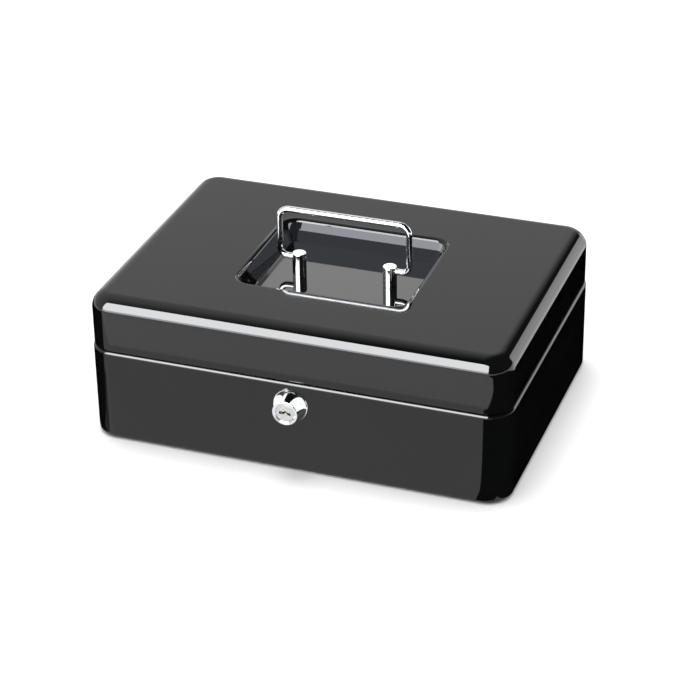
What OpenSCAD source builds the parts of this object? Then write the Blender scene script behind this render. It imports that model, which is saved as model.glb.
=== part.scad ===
// Portable steel cash box. The lid is hinged at the back and carries a fold-down wire handle in a
// pressed recess. A cam lock in the front wall holds the lid, and a coin tray lifts out of the base.
// Millimetres. X runs along the width, -Y is the front, +Z is up.
// The origin is the middle of the underside.

/* [Box] */
// Outside width of the box
box_w = 250; // [240:1:280]
// Outside depth of the box, without the lock and the hinge
box_d = 180; // [176:1:200]
// Height of the closed box, without the handle
box_h = 90; // [88:0.5:100]
// Height of the seam between the base and the lid
seam_z = 57; // [54:0.1:58]
// Radius of the four upright corners
corner_r = 15; // [13:0.5:18]
// Radius round the lid's top edge
top_fillet_r = 10; // [6:0.5:11]
// Radius round the base's bottom edge
bottom_fillet_r = 3; // [2:0.5:6]
// Thickness of the sheet steel
sheet_t = 1; // [0.8:0.1:1.2]

/* [Seam] */
// Radius of the base's shoulder below the lid
shoulder_r = 2.2; // [1:0.1:2.4]
// How far the lid's skirt is set in from the base's outside
lid_inset = 0.6; // [0.2:0.1:0.8]
// Gap between pieces that move past each other
fit_gap = 0.3; // [0.2:0.05:0.4]
// Height of the base's rim above its shoulder, inside the lid's skirt
rim_h = 5; // [3:0.5:6]

/* [Handle recess] */
// Width of the recess at the top of the lid
recess_w = 102.5; // [100:0.5:110]
// Depth of the recess from front to back at the top of the lid
recess_d = 86; // [84:1:96]
// Middle of the recess, along Y
recess_y = -1.5; // [-4:0.5:4]
// How far the recess floor lies below the top of the lid
recess_drop = 12.5; // [12:0.5:13]
// How far the recess walls slope inwards on their way down
recess_run = 5; // [4:0.5:7.5]
// Corner radius of the recess at the top of the lid
recess_corner_r = 9.5; // [9:0.5:14]
// Bend radius of the sheet along the recess rim
recess_rim_r = 3; // [1.5:0.25:4]
// Bend radius of the sheet along the recess floor
recess_floor_r = 1.5; // [0.5:0.25:2]

/* [Handle] */
// Diameter of the handle's wire
wire_d = 3.6; // [3:0.1:4]
// Distance between the middles of the handle's two side wires
handle_w = 79; // [76:0.5:80]
// Height of the grip's middle above the pivots
handle_arm = 30; // [26:0.5:31]
// Bend radius of the grip's corners, at the middle of the wire
grip_bend_r = 6; // [5:0.5:8]
// Bend radius of the turned-in ends, at the middle of the wire
foot_bend_r = 4.5; // [4:0.5:5]
// Height of the pivots below the top of the posts
pivot_drop = 2.8; // [2.6:0.1:3.2]
// Distance of each post from the middle of the box
post_x = 27.8; // [26:0.1:29]
// Diameter of the posts
post_d = 8.2; // [7.5:0.1:9]

/* [Lock] */
// Height of the lock's axis
lock_z = 43; // [42:0.1:43]
// Diameter of the bezel where it meets the front wall
bezel_base_d = 20; // [18:0.5:24]
// Diameter of the bezel's front face
bezel_face_d = 15; // [14:0.5:16]
// How far the bezel stands out of the front wall
bezel_h = 10; // [6:0.5:11]
// Diameter of the turning plug
plug_d = 11; // [10:0.5:11.5]
// Width across the flats of the lock nut
nut_af = 22; // [20:1:22]

/* [Hinge] */
// Length of the hinge
hinge_l = 150; // [120:5:180]
// Outside diameter of the knuckles
knuckle_d = 5.2; // [5:0.1:5.4]
// Diameter of the hinge pin
pin_d = 2.6; // [2.4:0.1:2.8]
// Height of each leaf, away from the knuckles
leaf_h = 13; // [12:0.5:14]

/* [Coin tray] */
// Height of the ledges that the tray sits on
ledge_z = 34; // [30:0.5:34]
// Height of the tray
tray_h = 25; // [20:0.5:25]
// Wall thickness of the tray
tray_t = 1.8; // [1.6:0.1:2.2]
// Middle of the long divider, along Y
long_divider_y = 15; // [5:1:30]

/* [Hidden] */
$fn = 64;
eps = 0.01;

// Running clearance of a shaft in its hole, and of a fastener in its hole
run_gap = 0.05;
hole_gap = 0.1;

// Faces of the shells
front_y = -box_d / 2;
back_y = box_d / 2;
lid_w = box_w - 2 * lid_inset;
lid_d = box_d - 2 * lid_inset;
lid_corner_r = corner_r - lid_inset;
lid_bottom_z = seam_z + fit_gap;
rim_out = lid_inset + sheet_t + fit_gap;
rim_in = rim_out + sheet_t;
rim_top_z = seam_z + rim_h;
lid_back_y = lid_d / 2;
lid_front_y = -lid_d / 2;

// The recess: slope of its walls and where their bends start
recess_slope = atan2(recess_drop, recess_run);
recess_rim_x = recess_rim_r * tan(recess_slope / 2);
recess_floor_x = -recess_run - recess_floor_r * tan(recess_slope / 2);
recess_floor_z = box_h - recess_drop;
recess_lap = 2;
recess_hole_x = recess_rim_x + recess_lap / 2;
bend_steps = 5;

// The handle
wire_r = wire_d / 2;
pivot_z = box_h - pivot_drop;
wire_end_x = post_x - 2.8;
post_hole_r = 2;
post_hole_top = pivot_z - wire_r - 1.4;
washer_t = 0.8;
screw_head_h = 2.2;

// The lock, along its axis from front to back
lock_hole_r = 8.1;
barrel_r = 8;
barrel_back_y = front_y + 14;
wall_in_y = front_y + sheet_t;
nut_washer_t = 1;
nut_t = 4;
plug_r = plug_d / 2 - run_gap;
plug_front_y = front_y - bezel_h + 0.5;
plug_back_y = barrel_back_y + 1;
cam_t = 1.6;
cam_front_y = plug_back_y;
cam_tip_r = 17.2;
cam_tip_reach = 5;
cam_w = 8;
stub = 6;
key_slot_w = 1.6;
key_slot_h = 7;
key_slot_l = 13;
wafer_n = 5;
wafer_t = 0.8;
wafer_pitch = 1.9;
cam_screw_r = 1.45;

// The lid's keeper
keeper_t = 1.2;
keeper_w = 20;
keeper_shelf_w = 10;
keeper_shelf_z = seam_z + 1;
keeper_shelf_l = 8;
keeper_jog = 4.8;

// The hinge
hinge_y = back_y + knuckle_d / 2 + 0.2;
hinge_z = seam_z;
leaf_t = 1.2;
knuckle_n = 5;
knuckle_gap = 0.4;
knuckle_l = (hinge_l - (knuckle_n - 1) * knuckle_gap) / knuckle_n;
leaf_clear = knuckle_d / 2 + 0.5;
rivet_r = 1.5;
rivet_head_r = 3;
rivet_head_h = 1.2;
rivet_x = [-60, -20, 20, 60];

// The tray and its ledges
ledge_w = 9;
ledge_leg = 10;
ledge_l = 120;
tray_gap = 0.2;
tray_z = ledge_z + tray_gap;
tray_w = box_w - 10;
tray_d = box_d - 10;
tray_corner_r = corner_r - 2;
tray_notch_w = 56;
tray_notch_d = 16;
tray_floor_z = tray_z + tray_t;
grip_r = 13;
divider_t = 1.6;
divider_h = tray_h - tray_t - 1.5;
divider_gap = 0.1;
side_divider_x = 74;
rear_divider_x = 40;
inner_x = tray_w / 2 - tray_t - divider_gap;
inner_y = tray_d / 2 - tray_t - divider_gap;
notch_y = -tray_d / 2 + tray_notch_d + tray_t + divider_gap;

// Paint, metals and plastic
enamel = [0.10, 0.11, 0.11];
chrome = [0.80, 0.81, 0.83];
zinc = [0.62, 0.63, 0.64];
brass = [0.72, 0.60, 0.33];
plastic = [0.20, 0.21, 0.22];

// Points along an arc about c, from angle a0 to angle a1
function arc(c, r, a0, a1) = [
    for (i = [0 : bend_steps])
        let (a = a0 + (a1 - a0) * i / bend_steps)
            [c[0] + r * cos(a), c[1] + r * sin(a)]
];

// A rectangle with round corners, about the origin
module rounded_rect(w, d, r) {
    square([w - 2 * r, d], center = true);
    square([w, d - 2 * r], center = true);
    for (sx = [-1, 1], sy = [-1, 1])
        translate([sx * (w / 2 - r), sy * (d / 2 - r)])
            circle(r);
}

// A flat plate with round corners whose underside is at z
module rounded_plate(w, d, r, t, z) {
    translate([0, 0, z])
        linear_extrude(t)
            rounded_rect(w, d, r);
}

// Carries a profile round a rectangle with round corners. In the profile x is the distance
// outwards from the rectangle and y is the height.
module around(w, d, r) {
    for (side = [0 : 3]) {
        reach = side % 2 == 0 ? w : d;
        span = side % 2 == 0 ? d : w;
        rotate([0, 0, 90 * side]) {
            translate([reach / 2, 0, 0])
                rotate([90, 0, 0])
                    linear_extrude(span - 2 * r, center = true)
                        children();
            translate([reach / 2 - r, span / 2 - r, 0])
                rotate_extrude(angle = 90)
                    translate([r, 0])
                        children();
        }
    }
}

// The quarter of a ring about (x, y) that lies towards (sx, sy)
module quarter_ring(x, y, r_out, r_in, sx, sy) {
    translate([x, y])
        intersection() {
            difference() {
                circle(r_out);
                if (r_in > 0) circle(r_in);
            }
            translate([sx > 0 ? 0 : -r_out, sy > 0 ? 0 : -r_out])
                square(r_out);
        }
}

// Puts its children on an axis along Y, with their +Z pointing to the back
module along_y(x, y, z) {
    translate([x, y, z])
        rotate([-90, 0, 0])
            children();
}

// Puts its children on an axis along X, with their +Z pointing to +X
module along_x(x, y, z) {
    translate([x, y, z])
        rotate([0, 90, 0])
            children();
}

// A hollow cylinder standing on its bottom face
module ring(h, r_out, r_in) {
    difference() {
        cylinder(h = h, r = r_out);
        translate([0, 0, -eps])
            cylinder(h = h + 2 * eps, r = r_in);
    }
}

// A low round head with a bevelled edge, wide end down
module head(h, r) {
    cylinder(h = h / 2, r = r);
    translate([0, 0, h / 2])
        cylinder(h = h / 2, r1 = r, r2 = r * 0.72);
}

// Side wall of the base: bottom bend, wall, shoulder and the rim inside the lid
module base_profile() {
    quarter_ring(-bottom_fillet_r, bottom_fillet_r, bottom_fillet_r, bottom_fillet_r - sheet_t, 1, -1);
    translate([-sheet_t, bottom_fillet_r])
        square([sheet_t, seam_z - shoulder_r - bottom_fillet_r]);
    quarter_ring(-shoulder_r, seam_z - shoulder_r, shoulder_r, shoulder_r - sheet_t, 1, 1);
    translate([-rim_in, seam_z - sheet_t])
        square([rim_in - shoulder_r, sheet_t]);
    translate([-rim_in, seam_z])
        square([sheet_t, rim_h]);
}

module base_shell() {
    color(enamel)
        difference() {
            union() {
                around(box_w, box_d, corner_r)
                    base_profile();
                rounded_plate(box_w - 2 * bottom_fillet_r, box_d - 2 * bottom_fillet_r,
                              corner_r - bottom_fillet_r, sheet_t, 0);
            }
            along_y(0, front_y - 1, lock_z)
                cylinder(h = sheet_t + 2, r = lock_hole_r);
            for (x = rivet_x)
                along_y(x, back_y - sheet_t - 1, base_rivet_z())
                    cylinder(h = sheet_t + 2, r = rivet_r + hole_gap);
        }
}

// Side wall of the lid: skirt and the bend into the top
module lid_profile() {
    translate([-sheet_t, lid_bottom_z])
        square([sheet_t, box_h - top_fillet_r - lid_bottom_z]);
    quarter_ring(-top_fillet_r, box_h - top_fillet_r, top_fillet_r, top_fillet_r - sheet_t, 1, 1);
}

// Wall of the recess: rim bend, slope and floor bend, one sheet thick. Its top runs on into the lid.
module recess_profile() {
    rim_c = [recess_rim_x, box_h - recess_rim_r];
    floor_c = [recess_floor_x, recess_floor_z + recess_floor_r];
    polygon(concat(
        [[recess_rim_x + recess_lap, box_h]],
        arc(rim_c, recess_rim_r, 90, 90 + recess_slope),
        arc(floor_c, recess_floor_r, 270 + recess_slope, 270),
        arc(floor_c, recess_floor_r + sheet_t, 270, 270 + recess_slope),
        arc(rim_c, recess_rim_r - sheet_t, 90 + recess_slope, 90),
        [[recess_rim_x + recess_lap, box_h - sheet_t]]
    ));
}

module lid_top() {
    difference() {
        rounded_plate(lid_w - 2 * top_fillet_r, lid_d - 2 * top_fillet_r,
                      lid_corner_r - top_fillet_r, sheet_t, box_h - sheet_t);
        translate([0, recess_y, 0])
            rounded_plate(recess_w + 2 * recess_hole_x, recess_d + 2 * recess_hole_x,
                          recess_corner_r + recess_hole_x, sheet_t + 2, box_h - sheet_t - 1);
    }
}

module lid_shell() {
    color(enamel)
        difference() {
            union() {
                around(lid_w, lid_d, lid_corner_r)
                    lid_profile();
                lid_top();
                translate([0, recess_y, 0]) {
                    around(recess_w, recess_d, recess_corner_r)
                        recess_profile();
                    rounded_plate(recess_w + 2 * recess_floor_x, recess_d + 2 * recess_floor_x,
                                  recess_corner_r + recess_floor_x, sheet_t, recess_floor_z - sheet_t);
                }
            }
            for (sx = [-1, 1])
                translate([sx * post_x, 0, recess_floor_z - sheet_t - 1])
                    cylinder(h = sheet_t + 2, r = post_hole_r + hole_gap);
            for (x = rivet_x)
                along_y(x, lid_back_y - sheet_t - 1, lid_rivet_z())
                    cylinder(h = sheet_t + 2, r = rivet_r + hole_gap);
        }
}

// Rivet heights on the two leaves
function base_rivet_z() = hinge_z - leaf_clear - leaf_h / 2 + 1;
function lid_rivet_z() = hinge_z + leaf_clear + leaf_h / 2;

// Start of knuckle i along X
function knuckle_x(i) = -hinge_l / 2 + i * (knuckle_l + knuckle_gap);

// One leaf: a plate against the wall face at wall_y, and knuckles number first, first + 2 and so on.
// up is 1 for a leaf above the pin and -1 for one below it.
module hinge_leaf(wall_y, up, first, rivet_z) {
    difference() {
        union() {
            translate([-hinge_l / 2, wall_y, up > 0 ? hinge_z + leaf_clear : hinge_z - leaf_clear - leaf_h])
                cube([hinge_l, leaf_t, leaf_h]);
            for (i = [first : 2 : knuckle_n - 1]) {
                along_x(knuckle_x(i), hinge_y, hinge_z)
                    cylinder(h = knuckle_l, r = knuckle_d / 2);
                translate([knuckle_x(i), wall_y, up > 0 ? hinge_z + fit_gap : hinge_z - leaf_clear])
                    cube([knuckle_l, leaf_t, leaf_clear - (up > 0 ? fit_gap : 0)]);
            }
        }
        along_x(-hinge_l / 2 - 1, hinge_y, hinge_z)
            cylinder(h = hinge_l + 2, r = pin_d / 2 + run_gap);
        for (x = rivet_x)
            along_y(x, wall_y - 1, rivet_z)
                cylinder(h = leaf_t + 2, r = rivet_r + hole_gap);
    }
}

module hinge_leaf_base() {
    color(enamel)
        hinge_leaf(back_y, -1, 0, base_rivet_z());
}

module hinge_leaf_lid() {
    color(enamel)
        hinge_leaf(lid_back_y, 1, 1, lid_rivet_z());
}

module hinge_pin() {
    end_gap = 0.2;
    color(zinc) {
        along_x(-hinge_l / 2 - end_gap, hinge_y, hinge_z)
            cylinder(h = hinge_l + 2 * end_gap, r = pin_d / 2);
        for (sx = [-1, 1])
            translate([sx * (hinge_l / 2 + end_gap), hinge_y, hinge_z])
                rotate([0, sx * 90, 0])
                    head(1, pin_d / 2 + 0.7);
    }
}

// Rivets through a wall whose inner face is at in_y and a leaf whose outer face is at out_y
module rivet_row(in_y, out_y, z) {
    for (x = rivet_x) {
        along_y(x, in_y, z)
            cylinder(h = out_y - in_y, r = rivet_r);
        along_y(x, out_y, z)
            head(rivet_head_h, rivet_head_r);
        translate([x, in_y, z])
            rotate([90, 0, 0])
                head(rivet_head_h, rivet_head_r);
    }
}

module hinge_rivets_base() {
    color(zinc)
        rivet_row(back_y - sheet_t, back_y + leaf_t, base_rivet_z());
}

module hinge_rivets_lid() {
    color(zinc)
        rivet_row(lid_back_y - sheet_t, lid_back_y + leaf_t, lid_rivet_z());
}

// A quarter of a bent wire about (x, z), towards angle a, in the XZ plane
module wire_bend(x, z, r, a) {
    translate([x, 0, z])
        rotate([90, 0, 0])
            rotate([0, 0, a])
                rotate_extrude(angle = 90)
                    translate([r, 0])
                        circle(wire_r);
}

module handle_bail() {
    half = handle_w / 2;
    grip_z = pivot_z + handle_arm;
    color(chrome) {
        along_x(-half + grip_bend_r, 0, grip_z)
            cylinder(h = handle_w - 2 * grip_bend_r, r = wire_r);
        wire_bend(half - grip_bend_r, grip_z - grip_bend_r, grip_bend_r, 0);
        wire_bend(-half + grip_bend_r, grip_z - grip_bend_r, grip_bend_r, 90);
        for (sx = [-1, 1])
            translate([sx * half, 0, pivot_z + foot_bend_r])
                cylinder(h = handle_arm - grip_bend_r - foot_bend_r, r = wire_r);
        wire_bend(half - foot_bend_r, pivot_z + foot_bend_r, foot_bend_r, 270);
        wire_bend(-half + foot_bend_r, pivot_z + foot_bend_r, foot_bend_r, 180);
        along_x(wire_end_x, 0, pivot_z)
            cylinder(h = half - foot_bend_r - wire_end_x, r = wire_r);
        along_x(-half + foot_bend_r, 0, pivot_z)
            cylinder(h = half - foot_bend_r - wire_end_x, r = wire_r);
    }
}

module handle_post(x) {
    bevel = 0.5;
    difference() {
        union() {
            translate([x, 0, recess_floor_z])
                cylinder(h = recess_drop - bevel, r = post_d / 2);
            translate([x, 0, box_h - bevel])
                cylinder(h = bevel, r1 = post_d / 2, r2 = post_d / 2 - bevel);
        }
        along_x(x - post_d, 0, pivot_z)
            cylinder(h = 2 * post_d, r = wire_r + run_gap);
        translate([x, 0, recess_floor_z - 1])
            cylinder(h = post_hole_top - recess_floor_z + 1, r = post_hole_r);
    }
}

module handle_post_left() {
    color(chrome)
        handle_post(-post_x);
}

module handle_post_right() {
    color(chrome)
        handle_post(post_x);
}

module handle_washers() {
    color(zinc)
        for (sx = [-1, 1])
            translate([sx * post_x, 0, recess_floor_z - sheet_t - washer_t])
                ring(washer_t, 5, post_hole_r + hole_gap);
}

module handle_screws() {
    head_top_z = recess_floor_z - sheet_t - washer_t;
    color(zinc)
        for (sx = [-1, 1])
            translate([sx * post_x, 0, 0])
                difference() {
                    union() {
                        translate([0, 0, head_top_z])
                            cylinder(h = post_hole_top - 0.5 - head_top_z, r = post_hole_r - run_gap);
                        translate([0, 0, head_top_z])
                            rotate([180, 0, 0])
                                head(screw_head_h, 3.6);
                    }
                    for (turn = [0, 90])
                        rotate([0, 0, turn])
                            translate([-2, -0.4, head_top_z - screw_head_h - 1])
                                cube([4, 0.8, 2.2]);
                }
}

module lock_housing() {
    color(chrome)
        difference() {
            union() {
                along_y(0, front_y - bezel_h, lock_z)
                    cylinder(h = bezel_h - 1, r1 = bezel_face_d / 2, r2 = bezel_base_d / 2);
                along_y(0, front_y - 1, lock_z)
                    cylinder(h = 1, r = bezel_base_d / 2);
                along_y(0, front_y, lock_z)
                    cylinder(h = barrel_back_y - front_y, r = barrel_r);
            }
            along_y(0, front_y - bezel_h - 1, lock_z)
                cylinder(h = bezel_h + barrel_back_y - front_y + 2, r = plug_d / 2);
        }
}

module lock_washer() {
    color(zinc)
        along_y(0, wall_in_y, lock_z)
            ring(nut_washer_t, 11, barrel_r + hole_gap);
}

module lock_nut() {
    color(zinc)
        along_y(0, wall_in_y + nut_washer_t, lock_z)
            difference() {
                cylinder(h = nut_t, r = nut_af / 2 / cos(30), $fn = 6);
                translate([0, 0, -1])
                    cylinder(h = nut_t + 2, r = barrel_r + run_gap);
            }
}

// Distance of wafer i behind the plug's face
function wafer_y(i) = 3.5 + i * wafer_pitch;

module lock_plug() {
    color(zinc)
        along_y(0, plug_front_y, lock_z)
            difference() {
                union() {
                    cylinder(h = plug_back_y - plug_front_y, r = plug_r);
                    translate([-stub / 2, -stub / 2, plug_back_y - plug_front_y - eps])
                        cube([stub, stub, cam_t - 0.1 + eps]);
                }
                translate([-key_slot_h / 2, -key_slot_w / 2, -1])
                    cube([key_slot_h, key_slot_w, key_slot_l + 1]);
                for (i = [0 : wafer_n - 1])
                    translate([-plug_r + 0.6, -2, wafer_y(i)])
                        cube([2 * plug_r - 1.2, 4, wafer_t + 0.2]);
                translate([0, 0, plug_back_y - plug_front_y - 5])
                    cylinder(h = 10, r = cam_screw_r + run_gap);
            }
}

module lock_wafers() {
    color(brass)
        along_y(0, plug_front_y, lock_z)
            for (i = [0 : wafer_n - 1])
                translate([0, 0, wafer_y(i) + 0.1])
                    linear_extrude(wafer_t)
                        difference() {
                            square([2 * plug_r - 1.6, 3.8], center = true);
                            square([key_slot_h - 1, key_slot_w + 0.2], center = true);
                        }
}

// Plate that turns with the plug. Its tip is bent towards the front wall, and in the locked position
// it stands over the keeper's shelf.
module lock_cam() {
    reach = cam_tip_r + cam_t;
    color(zinc)
        along_y(0, cam_front_y, lock_z)
            difference() {
                union() {
                    cylinder(h = cam_t, r = 7.5);
                    translate([0, -cam_w / 2, 0])
                        cube([reach, cam_w, cam_t]);
                    translate([cam_tip_r, -cam_w / 2, -cam_tip_reach])
                        cube([cam_t, cam_w, cam_tip_reach + eps]);
                }
                translate([-stub / 2 - run_gap, -stub / 2 - run_gap, -1])
                    cube([stub + 2 * run_gap, stub + 2 * run_gap, cam_t + 2]);
            }
}

module lock_cam_screw() {
    head_y = cam_front_y + cam_t;
    color(zinc)
        difference() {
            union() {
                along_y(0, head_y - 5, lock_z)
                    cylinder(h = 5 + eps, r = cam_screw_r);
                along_y(0, head_y, lock_z)
                    head(2, 4.6);
            }
            along_y(-3, head_y + 1.2, lock_z - 0.4)
                translate([0, -0.8, 0])
                    cube([6, 0.8, 1]);
        }
}

// Bracket welded inside the lid's front skirt. It steps over the base's rim and ends in a shelf
// that the cam's tip holds down.
module lid_keeper() {
    in_y = lid_front_y + sheet_t;
    top_z = box_h - top_fillet_r - 2;
    jog_z = rim_top_z + 3;
    leg_y = in_y + keeper_jog - keeper_t;
    color(zinc) {
        translate([-keeper_w / 2, in_y, jog_z])
            cube([keeper_w, keeper_t, top_z - jog_z]);
        translate([-keeper_w / 2, in_y, jog_z])
            cube([keeper_w, keeper_jog, keeper_t]);
        translate([-keeper_shelf_w / 2, leg_y, keeper_shelf_z])
            cube([keeper_shelf_w, keeper_t, jog_z - keeper_shelf_z + eps]);
        translate([-keeper_shelf_w / 2, leg_y, keeper_shelf_z])
            cube([keeper_shelf_w, keeper_shelf_l, keeper_t]);
    }
}

// Angle welded to a side wall, sx is -1 on the left and 1 on the right
module tray_ledge(sx) {
    wall_x = box_w / 2 - sheet_t;
    mirror([sx < 0 ? 1 : 0, 0, 0]) {
        translate([wall_x - sheet_t, -ledge_l / 2, ledge_z - ledge_leg])
            cube([sheet_t, ledge_l, ledge_leg]);
        translate([wall_x - ledge_w, -ledge_l / 2, ledge_z - sheet_t])
            cube([ledge_w, ledge_l, sheet_t]);
    }
}

module tray_ledge_left() {
    color(enamel)
        tray_ledge(-1);
}

module tray_ledge_right() {
    color(enamel)
        tray_ledge(1);
}

// Outline of the tray, with a notch at the front that clears the lock. inset shrinks it all round.
module tray_outline(inset) {
    difference() {
        rounded_rect(tray_w - 2 * inset, tray_d - 2 * inset, tray_corner_r - inset);
        translate([-tray_notch_w / 2 - inset, -tray_d / 2 - 1])
            square([tray_notch_w + 2 * inset, tray_notch_d + 1 + inset]);
    }
}

module coin_tray() {
    color(plastic)
        difference() {
            translate([0, 0, tray_z])
                linear_extrude(tray_h)
                    tray_outline(0);
            translate([0, 0, tray_floor_z])
                linear_extrude(tray_h)
                    tray_outline(tray_t);
            along_x(-tray_w / 2 - 1, 0, tray_z + tray_h + grip_r / 3)
                cylinder(h = tray_t + 2, r = grip_r);
            along_x(tray_w / 2 - tray_t - 1, 0, tray_z + tray_h + grip_r / 3)
                cylinder(h = tray_t + 2, r = grip_r);
        }
}

// An upright divider that fills the box from (x0, y0) to (x1, y1)
module divider(x0, x1, y0, y1) {
    translate([x0, y0, tray_floor_z])
        cube([x1 - x0, y1 - y0, divider_h]);
}

module tray_divider_long() {
    color(plastic)
        divider(-inner_x, inner_x, long_divider_y - divider_t / 2, long_divider_y + divider_t / 2);
}

module tray_dividers_front() {
    near_long_y = long_divider_y - divider_t / 2 - divider_gap;
    notch_x = tray_notch_w / 2 + tray_t - divider_t / 2;
    color(plastic)
        for (sx = [-1, 1]) {
            divider(sx * notch_x - divider_t / 2, sx * notch_x + divider_t / 2, notch_y, near_long_y);
            divider(sx * side_divider_x - divider_t / 2, sx * side_divider_x + divider_t / 2,
                    -inner_y, near_long_y);
        }
}

module tray_dividers_rear() {
    far_long_y = long_divider_y + divider_t / 2 + divider_gap;
    color(plastic)
        for (sx = [-1, 1])
            divider(sx * rear_divider_x - divider_t / 2, sx * rear_divider_x + divider_t / 2,
                    far_long_y, inner_y);
}

base_shell();
lid_shell();
hinge_leaf_base();
hinge_leaf_lid();
hinge_pin();
hinge_rivets_base();
hinge_rivets_lid();
handle_bail();
handle_post_left();
handle_post_right();
handle_washers();
handle_screws();
lock_housing();
lock_washer();
lock_nut();
lock_plug();
lock_wafers();
lock_cam();
lock_cam_screw();
lid_keeper();
tray_ledge_left();
tray_ledge_right();
coin_tray();
tray_divider_long();
tray_dividers_front();
tray_dividers_rear();
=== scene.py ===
"""Looks of the steel cash box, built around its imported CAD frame. All lengths are in metres."""

import math

import bmesh
import bpy
from mathutils import Matrix, Vector


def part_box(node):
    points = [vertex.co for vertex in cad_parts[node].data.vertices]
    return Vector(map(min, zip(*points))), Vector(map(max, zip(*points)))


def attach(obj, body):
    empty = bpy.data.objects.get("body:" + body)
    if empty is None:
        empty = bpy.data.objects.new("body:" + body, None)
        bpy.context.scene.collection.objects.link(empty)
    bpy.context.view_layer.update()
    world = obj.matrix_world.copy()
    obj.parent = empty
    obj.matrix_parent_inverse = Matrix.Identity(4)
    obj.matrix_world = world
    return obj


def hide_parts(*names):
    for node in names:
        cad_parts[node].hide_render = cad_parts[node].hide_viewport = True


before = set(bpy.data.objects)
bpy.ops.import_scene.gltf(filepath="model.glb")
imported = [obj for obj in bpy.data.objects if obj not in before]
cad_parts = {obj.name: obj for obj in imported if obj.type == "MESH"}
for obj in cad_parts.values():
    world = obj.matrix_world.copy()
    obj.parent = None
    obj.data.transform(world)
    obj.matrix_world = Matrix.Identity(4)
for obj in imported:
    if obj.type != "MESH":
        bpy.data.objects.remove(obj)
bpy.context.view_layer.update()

MM = 0.001
CORNER_STEPS = 24
ROUND_STEPS = 48

# ---------------------------------------------------------------- sizes from the frame

base_low, base_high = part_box("base_shell")
lid_low, lid_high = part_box("lid_shell")
post_low, post_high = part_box("handle_post_right")
bail_low, bail_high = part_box("handle_bail")
housing_low, housing_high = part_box("lock_housing")
plug_low, plug_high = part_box("lock_plug")
tray_low, tray_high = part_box("coin_tray")
pin_low, pin_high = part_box("hinge_pin")

SHEET = 1.0 * MM
FIT_GAP = 0.3 * MM
SEAM_Z = lid_low.z - FIT_GAP

# The two pressings, as in the CAD
BASE_CORNER_R = 15.0 * MM
BASE_BOTTOM_R = 3.0 * MM
SHOULDER_R = 2.2 * MM
RIM_INSET = 1.9 * MM
LID_TOP_R = 10.0 * MM
LID_HEM_R = 0.8 * MM
EDGE_R = 0.3 * MM

# The handle recess in the lid
RECESS_HALF_X = 51.25 * MM
RECESS_HALF_Y = 43.0 * MM
RECESS_Y = -1.5 * MM
RECESS_CORNER_R = 9.5 * MM
RECESS_RUN = 5.0 * MM
RECESS_RIM_R = 3.0 * MM
RECESS_FLOOR_R = 1.5 * MM
RECESS_FLOOR_Z = post_low.z

# The handle
WIRE_R = (bail_high.y - bail_low.y) / 2
BAIL_HALF_X = bail_high.x - WIRE_R
GRIP_Z = bail_high.z - WIRE_R
PIVOT_Z = GRIP_Z - 30.0 * MM
GRIP_BEND_R = 6.0 * MM
FOOT_BEND_R = 4.5 * MM
POST_X = (post_low.x + post_high.x) / 2
POST_R = (post_high.x - post_low.x) / 2
WIRE_END_X = POST_X - 2.8 * MM
SCREW_HOLE_R = 2.1 * MM
RUN_GAP = 0.05 * MM

# The lock
LOCK_Z = (housing_low.z + housing_high.z) / 2
LOCK_HOLE_R = 8.1 * MM
BARREL_R = 8.0 * MM
BEZEL_BASE_R = (housing_high.x - housing_low.x) / 2
BEZEL_FACE_R = 7.5 * MM
PLUG_HOLE_R = 5.5 * MM
PLUG_R = PLUG_HOLE_R - RUN_GAP

# The hinge
HINGE_Y = (pin_low.y + pin_high.y) / 2
HINGE_Z = (pin_low.z + pin_high.z) / 2
KNUCKLE_R = 2.6 * MM
PIN_R = 1.3 * MM
LEAF_T = 1.2 * MM
LEAF_HALF_X = pin_high.x - 1.2 * MM
KNUCKLES = 5
KNUCKLE_GAP = 0.4 * MM
RIVET_XS = (-60 * MM, -20 * MM, 20 * MM, 60 * MM)
RIVET_R = 1.5 * MM
RIVET_HOLE_R = RIVET_R + 0.1 * MM
RIVET_HEAD_R = 3.0 * MM
RIVET_HEAD_H = 1.2 * MM

# The camera
CAMERA_AZIMUTH = 20.305
CAMERA_ELEVATION = 29.201
CAMERA_ROLL = -1.012
CAMERA_DISTANCE = 1.36883
CAMERA_LENS = 122.93
CAMERA_TARGET = Vector((-3.49 * MM, 0, 35.94 * MM))


# ---------------------------------------------------------------- mesh building

def arc(cx, cy, radius, start, end, steps=8):
    """Points along an arc about (cx, cy), from start to end in degrees, both ends included."""
    angles = [math.radians(start + (end - start) * i / steps) for i in range(steps + 1)]
    return [(cx + radius * math.cos(a), cy + radius * math.sin(a)) for a in angles]


def add_object(name, mesh):
    obj = bpy.data.objects.new(name, mesh)
    bpy.context.scene.collection.objects.link(obj)
    return obj


def mesh_object(name, islands):
    """One object from several closed meshes, each a (points, faces) pair, with its faces turned outwards."""
    points, faces = [], []
    for island_points, island_faces in islands:
        start = len(points)
        points += [tuple(p) for p in island_points]
        faces += [tuple(start + i for i in face) for face in island_faces]
    mesh = bpy.data.meshes.new(name)
    mesh.from_pydata(points, [], faces)
    form = bmesh.new()
    form.from_mesh(mesh)
    bmesh.ops.recalc_face_normals(form, faces=form.faces)
    form.to_mesh(mesh)
    form.free()
    return add_object(name, mesh)


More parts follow.
